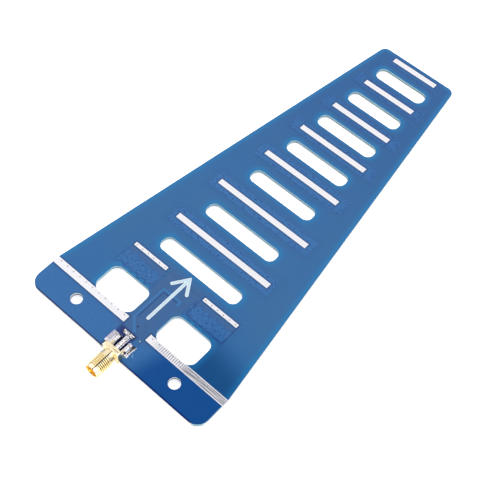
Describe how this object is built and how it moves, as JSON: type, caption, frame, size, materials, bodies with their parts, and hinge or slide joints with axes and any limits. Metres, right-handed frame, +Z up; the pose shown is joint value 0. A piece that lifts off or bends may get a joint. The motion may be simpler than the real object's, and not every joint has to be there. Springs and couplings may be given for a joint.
{
  "type": "directional wifi antenna",
  "caption": "Flat printed directional antenna: tapered blue board with slots, bare tinned elements, printed arrow and an edge-mounted coaxial socket.",
  "frame": {"origin": "midway between the two mounting holes, on the underside of the board", "axes": "+Y is the beam direction along the board, from the wide end with the socket to the narrow end; +Z is up, out of the printed face; +X is to the right"},
  "size_m": [0.082, 0.1878, 0.0067],
  "materials": {
    "laminate": "routed glass-epoxy edge, greyish white with a faint weave",
    "solder_mask": "semi-gloss translucent blue solder mask",
    "print": "white printed ink",
    "copper": "copper foil under the mask",
    "tin": "bright levelled solder tinning with fine ripples",
    "gold_plating": "bright gold plating over turned brass",
    "insulator": "waxy white fluoropolymer",
    "solder": "shiny hand-laid solder"
  },
  "bodies": {
    "root": {"laminate": "laminate", "solder_mask_top": "solder_mask", "solder_mask_bottom": "solder_mask", "direction_arrow": "print", "ground_copper_left": "copper", "ground_copper_right": "copper", "ground_copper_bottom": "copper", "feed_line": "copper", "dipole_arm_left": "copper", "dipole_arm_right": "copper", "dipole_bottom_left": "copper", "dipole_bottom_right": "copper", "director_1": "copper", "director_2": "copper", "director_3": "copper", "director_4": "copper", "director_5": "copper", "director_6": "copper", "director_7": "copper", "reflector_tinning_left": "tin", "reflector_tinning_right": "tin", "dipole_tinning_left": "tin", "dipole_tinning_right": "tin", "director_tinning_1": "tin", "director_tinning_2": "tin", "director_tinning_3": "tin", "director_tinning_4": "tin", "director_tinning_5": "tin", "director_tinning_6": "tin", "director_tinning_7": "tin", "feed_pad_tinning": "tin", "via_barrels": "tin", "connector_shell": "gold_plating", "connector_insulator": "insulator", "connector_contact": "gold_plating", "solder_leg_top_left": "solder", "solder_leg_top_right": "solder", "solder_leg_bottom_left": "solder", "solder_leg_bottom_right": "solder", "solder_centre_pin": "solder"}
  },
  "joints": []
}
